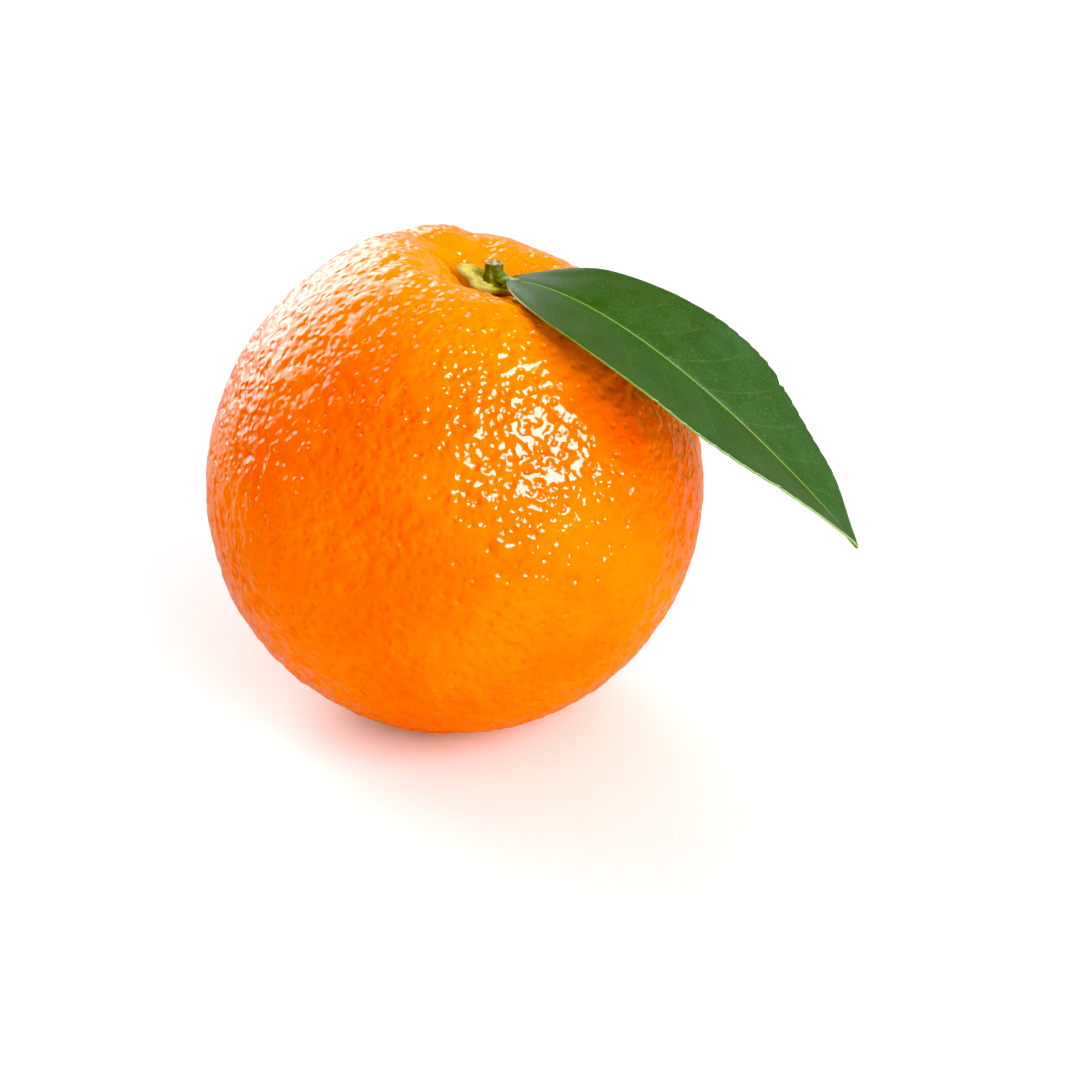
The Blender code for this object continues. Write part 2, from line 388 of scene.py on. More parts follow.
def stem_axis(lean):
    """From the fruit's middle to its surface at the stem end."""
    return Vector((math.sin(lean), 0, math.cos(lean))) * FRUIT_RADIUS


def build_fruit(settings, lean):
    tree = rounded_tree("fruit")
    shape, pits, strengths = scattered_pits(settings)
    finder = pit_finder(pits)
    pit_spread = settings.pit_radius / FRUIT_RADIUS
    dip_spread = settings.dip_radius / FRUIT_RADIUS
    brow = FRUIT_CENTRE + stem_axis(lean)
    values = []
    shape.verts.index_update()
    for vertex in shape.verts:
        outward = vertex.co.normalized()
        hit = tree.ray_cast(FRUIT_CENTRE, outward)[0]
        sink = 0
        for _, index, distance in finder.find_range(outward, DIP_END * dip_spread):
            pit = settings.pit_depth * bell(distance, pit_spread)
            dip = settings.dip_depth * bell(distance, dip_spread)
            sink += strengths[index] * (pit + dip)
        height = settings.lump_height * swell(hit, settings.lump_size)
        pebbles = settings.pebble_height * (1 + BROW_GAIN * bell((hit - brow).length, BROW_REACH))
        height += pebbles * swell(hit, settings.pebble_size)
        height += FINER_HEIGHT * pebbles * swell(hit, FINER_SIZE * settings.pebble_size)
        height += settings.peel_rise - sink
        height *= blend_between(hit.z, 0, FOOT_HEIGHT)
        vertex.co = hit + outward * height
        vertex.co.z = max(0.0, vertex.co.z)
        values.append(strengths[vertex.index] if vertex.index < len(pits) else 0.0)
    bmesh.ops.recalc_face_normals(shape, faces=shape.faces)
    fruit = new_piece("fruit_peel", shape, [peel_material(settings, lean)])
    add_values(fruit, "pit", values)
    settle(fruit, "fruit")


def peel_material(settings, lean):
    made, tree, shader, place_on = new_material("orange peel")
    pit = put(tree, "ShaderNodeAttribute", attribute_name="pit").outputs["Fac"]
    core = ramp(tree, pit, 0.25, 1.0)
    cloud = noise_of(tree, place_on, 0.017, detail=3)
    base = mix(tree, ramp(tree, cloud, 0.35, 0.65), settings.deep_colour, settings.light_colour)
    mottle = noise_of(tree, place_on, 0.0022, detail=2)
    base = mix(tree, ramp(tree, mottle, 0.45, 0.75, 0, 0.35), base, settings.light_colour)
    # Painted shade: each pit is darkened a little towards the pit shade colour, by the pit's strength.
    base = mix(tree, maths(tree, "MULTIPLY", core, 0.10), base, settings.pit_shade_colour)
    away = distance_from(tree, place_on, FRUIT_CENTRE + stem_axis(lean) * HOLLOW_MIDDLE)
    base = mix(tree, ramp(tree, away, *HOLLOW_FADE, 0.9, 0.0), base, settings.hollow_colour)
    ragged = maths(tree, "MULTIPLY", noise_of(tree, place_on, 0.0015, detail=3), 0.0016)
    end = maths(tree, "ADD", distance_from(tree, place_on, FRUIT_CENTRE - stem_axis(lean)), ragged)
    base = mix(tree, ramp(tree, end, 0.0032, 0.0024, 0, 0.85), base, settings.scar_colour)
    rough = ramp(tree, noise_of(tree, place_on, 0.004), 0.3, 0.7, 0.05, 0.10)
    rough = maths(tree, "ADD", rough, maths(tree, "MULTIPLY", core, 0.06))
    inputs = {"Vector": place_on, "Scale": 1 / settings.gland_size, "Randomness": 1.0}
    gland = put(tree, "ShaderNodeTexVoronoi", inputs).outputs["Distance"]
    normal = bump(tree, ramp(tree, gland, 0.0, 0.55), settings.gland_depth)
    normal = bump(tree, noise_of(tree, place_on, WAVE_SIZE, detail=1), WAVE_DEPTH, normal=normal)
    normal = bump(tree, noise_of(tree, place_on, GRAIN_SIZE, detail=1), GRAIN_DEPTH, normal=normal)
    connect(tree, shader, Base_Color=base, Roughness=rough, Normal=normal)
    shader.inputs["IOR"].default_value = 1.46
    shader.inputs["Specular IOR Level"].default_value = 0.45
    shader.inputs["Subsurface Weight"].default_value = 0.12
    shader.inputs["Subsurface Radius"].default_value = (1.0, 0.35, 0.08)
    shader.inputs["Subsurface Scale"].default_value = 0.003
    return made


# ---- The leaf ----

BLADE_STEPS_ALONG = 220
BLADE_STEPS_ACROSS = 96
BASE_POWER = 0.89
TIP_POWER = 0.91
# The blade's roll about the midrib, and the rise of each half from it, at the foot and at the tip.
BLADE_ROLL = (math.radians(5), math.radians(6))
BLADE_FOLD = (math.radians(4), math.radians(14))
END_HALF_WIDTH = 0.0004
# Where along each half the margin has its one deep nick.
NICKS = {-1: 0.70, 1: 0.62}
NICK_DEPTH = 0.05
TOOTH_DEPTH = 0.022
# Depth and half width of the midrib's groove, and heights of the quilting, the waves and the unevenness.
GROOVE_DEPTH, GROOVE_REACH = 0.00022, 0.00055
QUILT_HEIGHT = 0.00003
WAVE_HEIGHT = 0.00045
UNEVEN_HEIGHT = 0.00025
# How far a side vein runs to the tip on its way to the margin, how straight it leaves, and its bend.
VEIN_SLANT, VEIN_POWER, VEIN_BEND = 0.16, 0.8, 0.03
# How much closer the blade's rows stand near the midrib, and the half width of the midrib's thick part.
ROW_CROWDING = 1.3
RIB_REACH = 0.0006


def vein_phase(ratio, across, pairs, side):
    """Rises by 1 from each side vein to the next. The veins leave the midrib aslant and bend to the tip."""
    slant = VEIN_SLANT * abs(across) ** VEIN_POWER - VEIN_BEND * across**2
    return (ratio - slant) * pairs + (0.5 if side > 0 else 0.0)


def midrib_ends(settings):
    return [Vector(end) for end in (settings.foot, settings.rise, settings.fall, settings.tip)]


class Blade:
    """The leaf's upper face as a function of its share along the midrib and across the blade."""

    def __init__(self, settings):
        self.settings = settings
        self.ends = midrib_ends(settings)

    def half_width(self, ratio):
        widest = BASE_POWER / (BASE_POWER + TIP_POWER)
        rising = (ratio / widest) ** BASE_POWER
        falling = ((1 - ratio) / (1 - widest)) ** TIP_POWER
        return max(END_HALF_WIDTH, self.settings.half_width * rising * falling)

    def margin(self, ratio, side):
        """How much of the half width the margin keeps, with its fine teeth and nicks."""
        length = (self.ends[3] - self.ends[0]).length * 1.08
        tooth = (ratio * length / self.settings.tooth_size + 0.3 * side) % 1
        depth = TOOTH_DEPTH * blend_between(ratio, 0.25, 0.6)
        keep = 1 - depth * (1 - tooth) ** 2
        keep += 0.012 * noise.noise(Vector((ratio * 14, side * 3.1, 0.5)))
        nick = NICKS[1 if side > 0 else -1]
        return keep - NICK_DEPTH * bell(ratio - nick, 0.006)

    def point(self, ratio, side):
        point, along = bezier(self.ends, ratio)
        level = UP.cross(along).normalized()
        roll = BLADE_ROLL[0] + (BLADE_ROLL[1] - BLADE_ROLL[0]) * ratio
        fold = BLADE_FOLD[0] + (BLADE_FOLD[1] - BLADE_FOLD[0]) * ratio
        level.rotate(Quaternion(along, roll))
        upward = along.cross(level)
        out = level * (side * math.cos(fold)) + upward * (abs(side) * math.sin(fold))
        half_width = self.half_width(ratio)
        reach = half_width * (1 - abs(side) ** 8 * (1 - self.margin(ratio, side)))
        return point + out * reach + upward * self.relief(ratio, side, half_width)

    def relief(self, ratio, side, half_width):
        """The groove of the midrib, the side veins, the quilting between them and the margin's waves."""
        across = abs(side)
        height = -GROOVE_DEPTH * bell(across * half_width, GROOVE_REACH) * (1 - 0.7 * ratio)
        phase = vein_phase(ratio, across, self.settings.vein_pairs, side) % 1
        fade = blend_between(across, 0.02, 0.2) * (1 - blend_between(across, 0.7, 0.97))
        fade *= blend_between(ratio, 0.03, 0.25)
        height += QUILT_HEIGHT * math.sin(math.pi * phase) ** 2 * fade
        wave = math.sin(2 * math.pi * (2.1 * ratio + (0.15 if side > 0 else 0.55)))
        height += WAVE_HEIGHT * wave * across**2 * math.sin(math.pi * ratio)
        return height + UNEVEN_HEIGHT * noise.noise(Vector((ratio * 9, side * 3, 2.7))) * across


def build_leaf(settings):
    blade = Blade(settings)
    shape = bmesh.new()
    layer = shape.loops.layers.uv.new("blade")
    bmesh.ops.create_grid(shape, x_segments=BLADE_STEPS_ALONG, y_segments=BLADE_STEPS_ACROSS, size=1)
    thick = []
    for vertex in shape.verts:
        ratio = (vertex.co.x + 1) / 2
        side = math.copysign(abs(vertex.co.y) ** ROW_CROWDING, vertex.co.y)
        for loop in vertex.link_loops:
            loop[layer].uv = (ratio, (side + 1) / 2)
        half_width = blade.half_width(ratio)
        rib = bell(abs(side) * half_width, RIB_REACH * (1.2 - ratio)) * (1 - 0.8 * ratio)
        thick.append(settings.thickness + (settings.rib_thickness - settings.thickness) * rib)
        vertex.co = blade.point(ratio, side)
    faces = [leaf_material(settings, under) for under in (False, True)]
    leaf = new_piece("leaf_blade", shape, [*faces, margin_material(settings)])
    group = leaf.vertex_groups.new(name="thickness")
    for index, value in enumerate(thick):
        group.add([index], value / settings.rib_thickness, "REPLACE")
    wall = leaf.modifiers.new("wall", "SOLIDIFY")
    wall.thickness = settings.rib_thickness
    wall.offset = -1
    wall.vertex_group = group.name
    wall.material_offset = 1
    wall.material_offset_rim = 2
    settle(leaf, "leaf")


def vein_group(settings):
    """Masks of the midrib and of the side veins, from the blade's own share along and across."""
    group = bpy.data.node_groups.new("leaf veins", "ShaderNodeTree")
    group.interface.new_socket("Midrib", in_out="OUTPUT", socket_type="NodeSocketFloat")
    group.interface.new_socket("Veins", in_out="OUTPUT", socket_type="NodeSocketFloat")
    group.interface.new_socket("Width", in_out="INPUT", socket_type="NodeSocketFloat")
    inside = group.nodes.new("NodeGroupInput")
    outside = group.nodes.new("NodeGroupOutput")
    uv = put(group, "ShaderNodeUVMap", uv_map="blade").outputs["UV"]
    parts = put(group, "ShaderNodeSeparateXYZ", {0: uv})
    ratio = parts.outputs["X"]
    side = maths(group, "MULTIPLY_ADD", parts.outputs["Y"], 2.0)
    side.node.inputs[2].default_value = -1.0
    across = maths(group, "ABSOLUTE", side)
    slant = maths(group, "MULTIPLY", maths(group, "POWER", across, VEIN_POWER), VEIN_SLANT)
    bend = maths(group, "MULTIPLY", maths(group, "POWER", across, 2.0), VEIN_BEND)
    slant = maths(group, "SUBTRACT", slant, bend)
    phase = maths(group, "MULTIPLY", maths(group, "SUBTRACT", ratio, slant), settings.vein_pairs)
    phase = maths(group, "ADD", phase, maths(group, "MULTIPLY", maths(group, "GREATER_THAN", side, 0.0), 0.5))
    gap = maths(group, "PINGPONG", phase, 0.5)
    vein = ramp(group, gap, inside.outputs["Width"], 0.0)
    fade = maths(group, "MULTIPLY", ramp(group, across, 0.97, 0.55), ramp(group, ratio, 0.10, 0.45))
    taper = maths(group, "MULTIPLY", maths(group, "SUBTRACT", 1.02, ratio), ratio)
    rib_width = maths(group, "ADD", maths(group, "DIVIDE", 0.004, maths(group, "ADD", taper, 0.05)), 0.008)
    rib = ramp(group, across, rib_width, maths(group, "MULTIPLY", rib_width, 0.3))
    group.links.new(rib, outside.inputs["Midrib"])
    group.links.new(maths(group, "MULTIPLY", vein, fade), outside.inputs["Veins"])
    return group


def leaf_material(settings, under):
    name = "leaf under face" if under else "leaf upper face"
    made, tree, shader, place_on = new_material(name)
    group = bpy.data.node_groups.get("leaf veins") or vein_group(settings)
    veins = put(tree, "ShaderNodeGroup", node_tree=group)
    veins.inputs["Width"].default_value = 0.10 if under else 0.055
    cloud = ramp(tree, noise_of(tree, place_on, 0.006, detail=4, roughness=0.6), 0.3, 0.7)
    if under:
        base = mix(tree, cloud, settings.under_colour, tuple(0.8 * part for part in settings.under_colour))
    else:
        base = mix(tree, cloud, settings.upper_colour, settings.upper_light)
    inputs = {"Vector": place_on, "Scale": 1 / 0.0006, "Randomness": 1.0}
    glands = put(tree, "ShaderNodeTexVoronoi", inputs).outputs["Distance"]
    dots = ramp(tree, glands, 0.32, 0.12)
    shown = 0.45 if under else 0.06
    base = mix(tree, maths(tree, "MULTIPLY", dots, 0.16), base, settings.vein_colour)
    base = mix(tree, maths(tree, "MULTIPLY", veins.outputs["Veins"], shown), base, settings.vein_colour)
    base = mix(tree, maths(tree, "MULTIPLY", veins.outputs["Midrib"], 0.70), base, settings.vein_colour)
    rough = ramp(tree, noise_of(tree, place_on, 0.003), 0.3, 0.7, 0.42, 0.54)
    if under:
        rough = maths(tree, "ADD", rough, 0.2)
    grain = bump(tree, noise_of(tree, place_on, 0.0005, detail=3), 0.00003, strength=0.6)
    grain = bump(tree, dots, 0.00002, strength=0.5, normal=grain)
    sunk = maths(tree, "ADD", veins.outputs["Veins"], veins.outputs["Midrib"])
    normal = bump(tree, maths(tree, "MULTIPLY", sunk, 1.0 if under else -0.4), 0.00005, normal=grain)
    connect(tree, shader, Base_Color=base, Roughness=rough, Normal=normal)
    shader.inputs["IOR"].default_value = 1.45
    shader.inputs["Specular IOR Level"].default_value = 0.25
    return made


def margin_material(settings):
    made, tree, shader, place_on = new_material("leaf margin")
    from_foot = distance_from(tree, place_on, settings.foot)
    # Painted highlight: the rim is pale near the foot, where it catches the light, and turns to the vein
    # colour further along.
    base = mix(tree, ramp(tree, from_foot, 0.010, 0.018), settings.margin_highlight_colour, settings.vein_colour)
    base = mix(tree, noise_of(tree, place_on, 0.002), base, settings.under_colour)
    normal = bump(tree, noise_of(tree, place_on, 0.0004), 0.00003)
    connect(tree, shader, Base_Color=base, Normal=normal)
    shader.inputs["Roughness"].default_value = 0.45
    return made


# ---- The button, the stem stub and the leaf stalk ----

LOBE_HEADINGS = tuple(math.radians(degrees) for degrees in (165, 242, 314, 26, 98))
LOBE_SIZES = (1.25, 1.15, 0.8, 0.4, 0.15)
# The button's upper side in the stem's own frame: its height, and how fast it climbs towards +X and +Y.
PLATE_LEVEL = 0.0019
PLATE_CLIMB = (-0.08, 0.05)
BUTTON_SPOKES = 150
BUTTON_STEPS = 26
# The button's least height over the peel, the reach of its thick middle, and how fast that thins outwards.
PLATE_GAP = 0.00025
PLATE_MIDDLE = 0.0020
PLATE_TAPER = 0.0012
RAGGED_REACH = 0.00035
STEM_SIDES = 90
STEM_FOOT = 0.0017
# The stem's own slant away from the leaf, the depth of its ribs and their twist in radians to a metre.
STEM_SLANT = math.radians(9)
RIB_DEPTH = 0.035
RIB_TWIST = 400
# The stalk's heading round the stem, and where it starts beside the stem's middle and over its foot.
STALK_HEADING = math.radians(-62)
STALK_OUT = 0.0006
STALK_HEIGHT = 0.0026
# How far along the midrib the stalk ends, how far under it, and the steps and sides of its mesh.
STALK_END = 0.05
STALK_UNDER = 0.0006
STALK_STEPS = 24
STALK_SIDES = 28
# The height over the button from which the peel under it is found.
LOOK_DOWN = 0.02


def stem_frame(lean):
    """From a frame with the stem along +Z and its foot at the origin to where the stem stands."""
    tree = rounded_tree("fruit")
    foot = tree.ray_cast(FRUIT_CENTRE, stem_axis(lean).normalized())[0]
    return Matrix.Translation(foot) @ Quaternion((0, 1, 0), lean).to_matrix().to_4x4(), tree


def lobe_share(heading, width):
    """How far out the button's rim is, from 0 between two lobes to about 1 at a lobe's end."""
    lobes = zip(LOBE_HEADINGS, LOBE_SIZES)
    return min(1.15, sum(size * bell(angle_between(heading, lobe), size * width) for lobe, size in lobes))


def build_button(settings):
    placing, tree = stem_frame(settings.stem_lean)
    down = placing.to_3x3() @ Vector((0, 0, -1))
    shape = bmesh.new()
    spin_profile(shape, [(step / BUTTON_STEPS, 0) for step in range(BUTTON_STEPS + 1)], BUTTON_SPOKES)
    thick = []
    out = []
    for vertex in shape.verts:
        heading = math.atan2(vertex.co.y, vertex.co.x)
        ratio = vertex.co.length
        ragged = RAGGED_REACH * noise.noise(Vector((3 * math.cos(heading), 3 * math.sin(heading), 4.2)))
        lobe = lobe_share(heading, settings.lobe_width)
        reach = settings.plate_radius + settings.lobe_reach * lobe + ragged
        flat = Vector((math.cos(heading), math.sin(heading), 0)) * reach * ratio
        above = placing @ (flat + UP * LOOK_DOWN)
        low = LOOK_DOWN - (tree.ray_cast(above, down)[0] - above).length + PLATE_GAP
        rounding = math.sqrt(max(0.0, 1 - ratio**18))
        rim = settings.rim_thickness / settings.plate_thickness
        body = rim + (1 - rim) * bell(max(0.0, ratio * reach - PLATE_MIDDLE), PLATE_TAPER)
        level = PLATE_LEVEL + PLATE_CLIMB[0] * flat.x + PLATE_CLIMB[1] * flat.y
        level += settings.rim_lift * lobe * blend_between(ratio, 0.6, 1.0)
        vertex.co = placing @ (flat + UP * max(low, level - body * settings.plate_thickness))
        lumps = 0.95 + 0.25 * noise.noise(vertex.co / 0.0011) + 0.14 * noise.noise(vertex.co / 0.0005)
        thick.append(max(0.08, body * rounding * lumps))
        out.append(ratio)
    bmesh.ops.recalc_face_normals(shape, faces=shape.faces)
    button = new_piece("calyx_button", shape, [button_material(settings)])
    add_values(button, "out", out)
    group = button.vertex_groups.new(name="thickness")
    for index, value in enumerate(thick):
        group.add([index], min(1.0, value), "REPLACE")
    wall = button.modifiers.new("wall", "SOLIDIFY")
    wall.thickness = settings.plate_thickness
    wall.offset = 1
    wall.vertex_group = group.name
    settle(button, "calyx")


def button_material(settings):
    made, tree, shader, place_on = new_material("button plate")
    out = put(tree, "ShaderNodeAttribute", attribute_name="out").outputs["Fac"]
    cloud = noise_of(tree, place_on, 0.0016, detail=4, roughness=0.6)
    base = mix(tree, ramp(tree, cloud, 0.40, 0.62), settings.plate_green, settings.plate_yellow)
    base = mix(tree, ramp(tree, out, 0.35, 0.9, 0, 0.5), base, settings.plate_yellow)
    specks = ramp(tree, noise_of(tree, place_on, 0.0005, detail=3), 0.52, 0.64)
    edge = ramp(tree, maths(tree, "ADD", out, maths(tree, "MULTIPLY", cloud, 0.35)), 1.02, 1.16)
    base = mix(tree, maths(tree, "MULTIPLY", specks, 0.55), base, settings.dry_brown)
    base = mix(tree, maths(tree, "MULTIPLY", edge, 0.8), base, settings.dry_brown)
    normal = bump(tree, noise_of(tree, place_on, 0.0006, detail=4, roughness=0.7), 0.00050)
    connect(tree, shader, Base_Color=base, Normal=normal)
    shader.inputs["Roughness"].default_value = 0.6
    return made


def build_stem(settings):
    placing, _ = stem_frame(settings.stem_lean)
    shape = bmesh.new()
    radius, height = settings.stem_radius, settings.stem_height
    sink = -0.4 * height
    side = [
        (1.55, sink),
        (1.35, sink + 0.25 * height),
        (1.10, sink + 0.50 * height),
        (1.0, sink + 0.80 * height),
        (0.98, 0.85 * height),
        (1.02, 0.97 * height),
        (0.97, 1.02 * height),
        (0.86, 1.0 * height),
        (0.78, 0.94 * height),
        (0.4, 0.93 * height),
        (0, 0.95 * height),
    ]
    profile = [(0, sink)]
    for (wide, low), (next_wide, high) in zip(side, side[1:]):
        for step in range(4):
            ratio = step / 4
            profile.append((radius * (wide + (next_wide - wide) * ratio), low + (high - low) * ratio))
    profile.append((0, side[-1][1]))
    spin_profile(shape, profile, STEM_SIDES)
    cut = []
    for vertex in shape.verts:
        heading = math.atan2(vertex.co.y, vertex.co.x)
        from_axis = math.hypot(vertex.co.x, vertex.co.y)
        rib = RIB_DEPTH * math.cos(settings.stem_ribs * heading + RIB_TWIST * vertex.co.z)
        rib += 0.05 * noise.noise(Vector((2 * math.cos(heading), 2 * math.sin(heading), vertex.co.z / 0.002)))
        vertex.co.x *= 1 + rib
        vertex.co.y *= 1 + rib
        top = vertex.co.z > 0.9 * height and from_axis < 0.97 * radius
        vertex.co.z += 0.00022 * noise.noise(vertex.co / 0.0009) * (1 if vertex.co.z > 0.5 * height else 0)
        vertex.co.z += 0.12 * vertex.co.x * blend_between(vertex.co.z, 0.5 * height, height)
        vertex.co.x -= vertex.co.z * math.tan(STEM_SLANT)
        cut.append(1.0 if top else 0.0)
    foot = Matrix.Translation((-settings.stem_shift, 0, STEM_FOOT))
    shape.transform(placing @ foot)
    bmesh.ops.recalc_face_normals(shape, faces=shape.faces)
    stem = new_piece("stem_stub", shape, [stem_material(settings)])
    add_values(stem, "cut", cut)
    settle(stem, "stem")


def stem_material(settings):
    made, tree, shader, place_on = new_material("stem bark")
    cut = put(tree, "ShaderNodeAttribute", attribute_name="cut").outputs["Fac"]
    stretched = put(tree, "ShaderNodeMapping", {"Vector": place_on, "Scale": (1, 1, 0.25)}).outputs["Vector"]
    streaks = noise_of(tree, stretched, 0.0006, detail=4, roughness=0.6)
    darker = tuple(0.45 * part for part in settings.stem_green)
    base = mix(tree, ramp(tree, streaks, 0.35, 0.6), darker, settings.stem_green)
    base = mix(tree, ramp(tree, streaks, 0.6, 0.72, 0, 0.3), base, settings.plate_yellow)
    wood = ramp(tree, noise_of(tree, place_on, 0.0007, detail=3), 0.42, 0.62)
    base = mix(tree, cut, base, mix(tree, wood, settings.dry_brown, settings.cut_pale))
    rings = put(tree, "ShaderNodeMapping", {"Vector": place_on, "Scale": (0.3, 0.3, 1)}).outputs["Vector"]
    normal = bump(tree, streaks, 0.00030)
    normal = bump(tree, noise_of(tree, rings, 0.0005, detail=2), 0.00020, normal=normal)
    connect(tree, shader, Base_Color=base, Normal=normal)
    shader.inputs["Roughness"].default_value = 0.6
    return made


def tube(shape, stations, sides):
    """A closed tube through (centre, direction, radius) stations."""
    ring = bmesh.ops.create_circle(shape, segments=sides, radius=1, cap_ends=False)["verts"]
    unit = [vertex.co.copy() for vertex in ring]
    loops = []
    for centre, along, radius in stations:
        if loops:
            edges = [shape.edges.get((a, b)) for a, b in zip(ring, ring[1:] + ring[:1])]
            new = bmesh.ops.extrude_edge_only(shape, edges=edges)["geom"]
            fresh = [element for element in new if isinstance(element, bmesh.types.BMVert)]
            ring = [min(fresh, key=lambda vertex: (vertex.co - old.co).length) for old in ring]
        turn = along.to_track_quat("Z", "Y")
        for vertex, corner in zip(ring, unit):
            vertex.co = centre + turn @ (corner * radius)
        loops.append(ring)
    for end in (loops[0], loops[-1]):
        edges = [shape.edges.get((a, b)) for a, b in zip(end, end[1:] + end[:1])]
        bmesh.ops.contextual_create(shape, geom=edges)
    bmesh.ops.recalc_face_normals(shape, faces=shape.faces)


def build_stalk(settings, leaf):
    placing, _ = stem_frame(settings.stem_lean)
    out = Vector((math.cos(STALK_HEADING), math.sin(STALK_HEADING), 0))
    sideways = placing.to_3x3() @ out
    start = placing @ (out * STALK_OUT + UP * STALK_HEIGHT)
    far, far_along = bezier(midrib_ends(leaf), STALK_END)
    far = far - UP * STALK_UNDER
    reach = (far - start).length / 3
    route = [start, start + sideways * reach, far - far_along * reach, far]
    stations = []
    for step in range(STALK_STEPS + 1):
        ratio = step / STALK_STEPS
        centre, along = bezier(route, ratio)
        radius = 0.00062 + 0.0005 * bell(ratio, 0.3) + 0.00015 * bell(ratio - 0.7, 0.12)
        stations.append((centre, along, radius * (1 - 0.5 * blend_between(ratio, 0.85, 1))))
    shape = bmesh.new()
    tube(shape, stations, STALK_SIDES)
    stalk = new_piece("leaf_stalk", shape, [stalk_material(settings, leaf)])
    settle(stalk, "petiole")


def stalk_material(settings, leaf):
    made, tree, shader, place_on = new_material("leaf stalk")
    cloud = noise_of(tree, place_on, 0.0009, detail=3)
    base = mix(tree, ramp(tree, cloud, 0.35, 0.65), settings.stem_green, leaf.vein_colour)
    normal = bump(tree, noise_of(tree, place_on, 0.0005, detail=3), 0.0001)
    connect(tree, shader, Base_Color=base, Normal=normal)
    shader.inputs["Roughness"].default_value = 0.45
    return made


# ---- The stage ----

# Half of the floor's side, and how far it lies under the fruit so that the two don't share a plane.
FLOOR_REACH = 0.62
FLOOR_DROP = 0.00005
# How much of the floor's brightness the peel mirrors.
FLOOR_SCREENED = 0.40
# Where the lights stand from the fruit, their sizes and their radiance. The shine comes from a little higher
# than the light that the shadows follow.
LIGHT_DISTANCE = 0.8
SHINE_FROM, SHINE_SIZE, SHINE_RADIANCE = (0.60, -0.58, 0.57), 0.50, 23
KEY_FROM, KEY_SIZE, KEY_RADIANCE = (0.62, -0.70, 0.36), 0.80, 6.0
# What the view takes for black, which gives the colours their depth.
BLACK_LEVEL = (0.0, 0.014, 0.062)
# How bright the room is before the fruit, and what it gains behind it.
ROOM_DIM = 0.15
ROOM_BRIGHT = 0.5
# Soft patches of light in the room: where from, the angles at which they fade out and are full, and the gain.
ROOM_GLOWS = (
    ((-0.54, 0.74, 0.38), 42, 13, 4.8),
    ((0.45, -0.70, 0.55), 85, 10, 0.85),
)


def build_floor(settings):
    made, tree, shader, place_on = new_material("floor")
    tint = tuple(0.98 * part for part in settings.floor_colour)
    base = mix(tree, noise_of(tree, place_on, 0.5), settings.floor_colour, tint)
    # The peel mirrors the floor as if dark screens stood round it.
    mirrored = put(tree, "ShaderNodeLightPath").outputs["Is Glossy Ray"]
    screened = tuple(FLOOR_SCREENED * part for part in settings.floor_colour)
    base = mix(tree, mirrored, base, screened)
    connect(tree, shader, Base_Color=base)
    shader.inputs["Roughness"].default_value = 0.6
    shape = bmesh.new()
    bmesh.ops.create_grid(shape, x_segments=2, y_segments=2, size=FLOOR_REACH)
    floor = new_piece("floor", shape, [made])
    floor.location.z = -FLOOR_DROP


def build_camera(settings):
    camera = bpy.data.cameras.new("camera")
    camera.lens = settings.lens
    camera.sensor_width = 36
    camera.clip_start = 0.01
    eye = bpy.data.objects.new("camera", camera)
    bpy.context.scene.collection.objects.link(eye)
    level = Quaternion((1, 0, 0), math.pi / 2 - settings.elevation)
    turned = level @ Quaternion((0, 1, 0), -settings.turn_right) @ Quaternion((1, 0, 0), -settings.turn_down)
    stand = Vector(settings.aim) + level @ Vector((0, 0, settings.distance))
    eye.matrix_world = Matrix.Translation(stand) @ turned.to_matrix().to_4x4()
    bpy.context.scene.camera = eye


def soft_light(name, direction, size, radiance, **visible):
    """A round area light that looks at the fruit. Its radiance doesn't change with its size."""
    light = bpy.data.lights.new(name, "AREA")
    light.shape = "DISK"
    light.size = size
    light.energy = radiance * math.pi * (math.pi * size**2 / 4)
    lamp = bpy.data.objects.new(name, light)
    bpy.context.scene.collection.objects.link(lamp)
    lamp.location = FRUIT_CENTRE + Vector(direction).normalized() * LIGHT_DISTANCE
    lamp.rotation_mode = "QUATERNION"
    lamp.rotation_quaternion = (lamp.location - FRUIT_CENTRE).to_track_quat("Z", "Y")
    for ray, shown in visible.items():
        setattr(lamp, "visible_" + ray, shown)


def build_room():
    """A room that is bright behind the fruit and dim before it, with a soft window. The eye sees it white."""
    world = bpy.data.worlds.new("studio")
    world.use_nodes = True
    tree = world.node_tree
    background = tree.nodes["Background"]
    way = put(tree, "ShaderNodeTexCoord").outputs["Generated"]
    behind = ramp(tree, put(tree, "ShaderNodeSeparateXYZ", {0: way}).outputs["Y"], 0.2, 0.95)
    strength = maths(tree, "ADD", ROOM_DIM, maths(tree, "MULTIPLY", behind, ROOM_BRIGHT))
    for aim, edge, middle, gain in ROOM_GLOWS:
        inputs = {0: way, 1: Vector(aim).normalized()}
        towards = put(tree, "ShaderNodeVectorMath", inputs, operation="DOT_PRODUCT").outputs["Value"]
        glow = ramp(tree, towards, math.cos(math.radians(edge)), math.cos(math.radians(middle)))
        strength = maths(tree, "ADD", strength, maths(tree, "MULTIPLY", glow, gain))
    seen = put(tree, "ShaderNodeLightPath").outputs["Is Camera Ray"]
    inputs = {"Factor": seen, "A": strength, "B": 1.0}
    strength = put(tree, "ShaderNodeMix", inputs, data_type="FLOAT").outputs["Result"]
    tree.links.new(strength, background.inputs["Strength"])
    background.inputs["Color"].default_value = (1, 1, 1, 1)
    bpy.context.scene.world = world


def build_lights():
    soft_light("key shine", SHINE_FROM, SHINE_SIZE, SHINE_RADIANCE, diffuse=False)
    soft_light("key", KEY_FROM, KEY_SIZE, KEY_RADIANCE, glossy=False)
    build_room()
    view = bpy.context.scene.view_settings
    view.view_transform = "Standard"
    view.use_curve_mapping = True
    view.curve_mapping.black_level = BLACK_LEVEL
    view.curve_mapping.update()


# ---- Operators, panel and registration ----


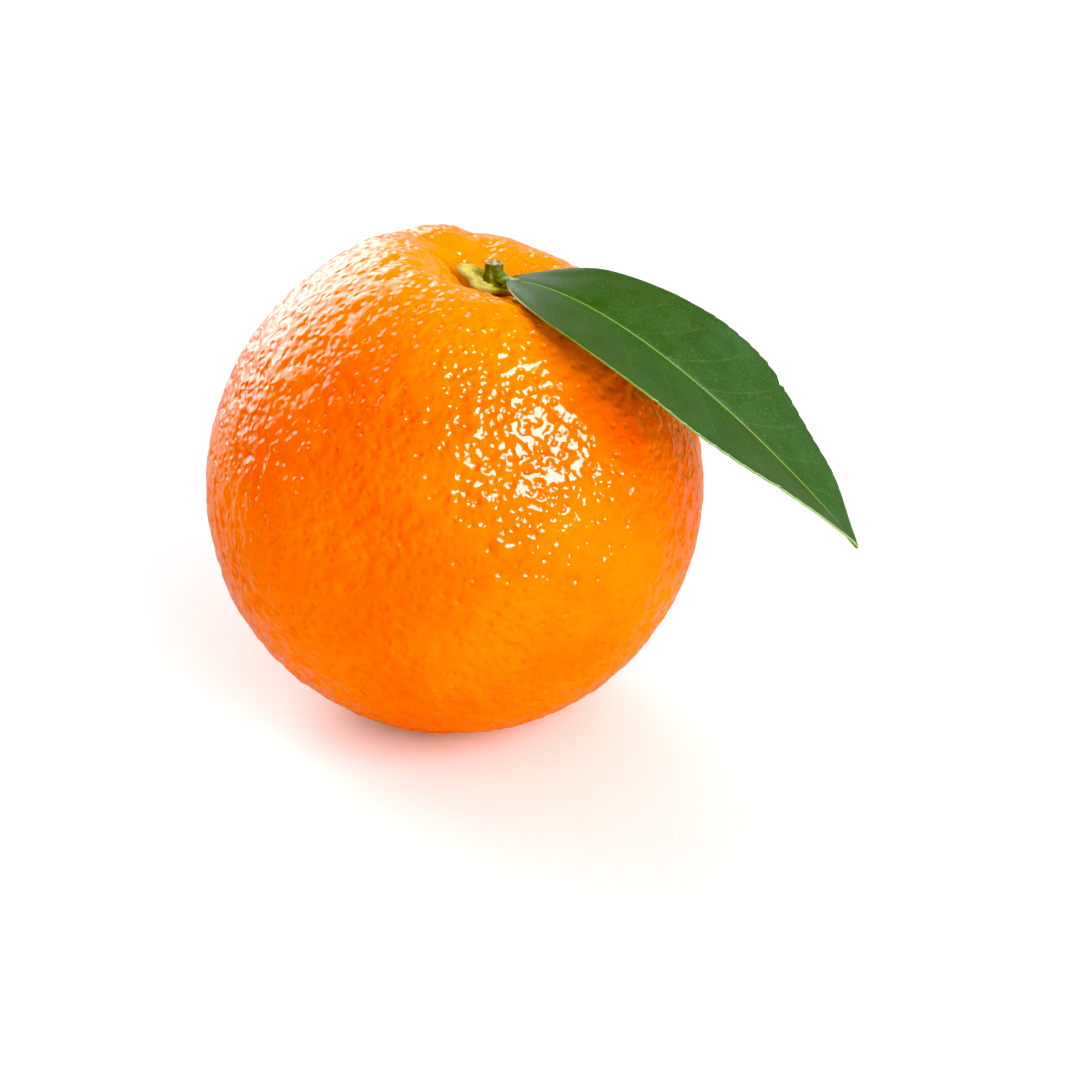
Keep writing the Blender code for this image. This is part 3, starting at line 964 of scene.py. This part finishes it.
class ORANGE_OT_fruit(bpy.types.Operator):
    """Builds the fruit with its pitted peel"""

    bl_idname = "orange.fruit"
    bl_label = "Build fruit"

    def execute(self, context):
        build_fruit(context.scene.orange_peel, context.scene.orange_button.stem_lean)
        return {"FINISHED"}


class ORANGE_OT_button(bpy.types.Operator):
    """Builds the lobed button in the hollow"""

    bl_idname = "orange.button"
    bl_label = "Build button"

    def execute(self, context):
        build_button(context.scene.orange_button)
        return {"FINISHED"}


class ORANGE_OT_stem(bpy.types.Operator):
    """Builds the stem stub and the leaf stalk"""

    bl_idname = "orange.stem"
    bl_label = "Build stem and stalk"

    def execute(self, context):
        build_stem(context.scene.orange_button)
        build_stalk(context.scene.orange_button, context.scene.orange_leaf)
        return {"FINISHED"}


class ORANGE_OT_leaf(bpy.types.Operator):
    """Builds the leaf with its veins and toothed margin"""

    bl_idname = "orange.leaf"
    bl_label = "Build leaf"

    def execute(self, context):
        build_leaf(context.scene.orange_leaf)
        return {"FINISHED"}


class ORANGE_OT_stage(bpy.types.Operator):
    """Sets the floor, the camera and the lights"""

    bl_idname = "orange.stage"
    bl_label = "Set stage"

    def execute(self, context):
        build_floor(context.scene.orange_stage)
        build_camera(context.scene.orange_stage)
        build_lights()
        return {"FINISHED"}


class ORANGE_PT_panel(bpy.types.Panel):
    """Lists the settings and the operators"""

    bl_label = "Sweet orange"
    bl_idname = "ORANGE_PT_panel"
    bl_space_type = "VIEW_3D"
    bl_region_type = "UI"
    bl_category = "Orange"

    def draw(self, context):
        for name, operators in PANEL_ROWS:
            box = self.layout.box()
            settings = getattr(context.scene, name)
            for key in settings.__annotations__:
                box.prop(settings, key)
            for operator in operators:
                box.operator(operator.bl_idname)


PANEL_ROWS = (
    ("orange_peel", (ORANGE_OT_fruit,)),
    ("orange_button", (ORANGE_OT_button, ORANGE_OT_stem)),
    ("orange_leaf", (ORANGE_OT_leaf,)),
    ("orange_stage", (ORANGE_OT_stage,)),
)
SETTINGS = {
    "orange_peel": OrangePeelSettings,
    "orange_button": OrangeButtonSettings,
    "orange_leaf": OrangeLeafSettings,
    "orange_stage": OrangeStageSettings,
}
OPERATORS = (ORANGE_OT_fruit, ORANGE_OT_button, ORANGE_OT_stem, ORANGE_OT_leaf, ORANGE_OT_stage)


def register():
    for made in (*SETTINGS.values(), *OPERATORS, ORANGE_PT_panel):
        bpy.utils.register_class(made)
    for name, made in SETTINGS.items():
        setattr(bpy.types.Scene, name, PointerProperty(type=made))


def unregister():
    for name in SETTINGS:
        delattr(bpy.types.Scene, name)
    for made in reversed((*SETTINGS.values(), *OPERATORS, ORANGE_PT_panel)):
        bpy.utils.unregister_class(made)


def main():
    register()
    bpy.ops.orange.fruit()
    bpy.ops.orange.button()
    bpy.ops.orange.stem()
    bpy.ops.orange.leaf()
    bpy.ops.orange.stage()


if __name__ == "__main__":
    main()
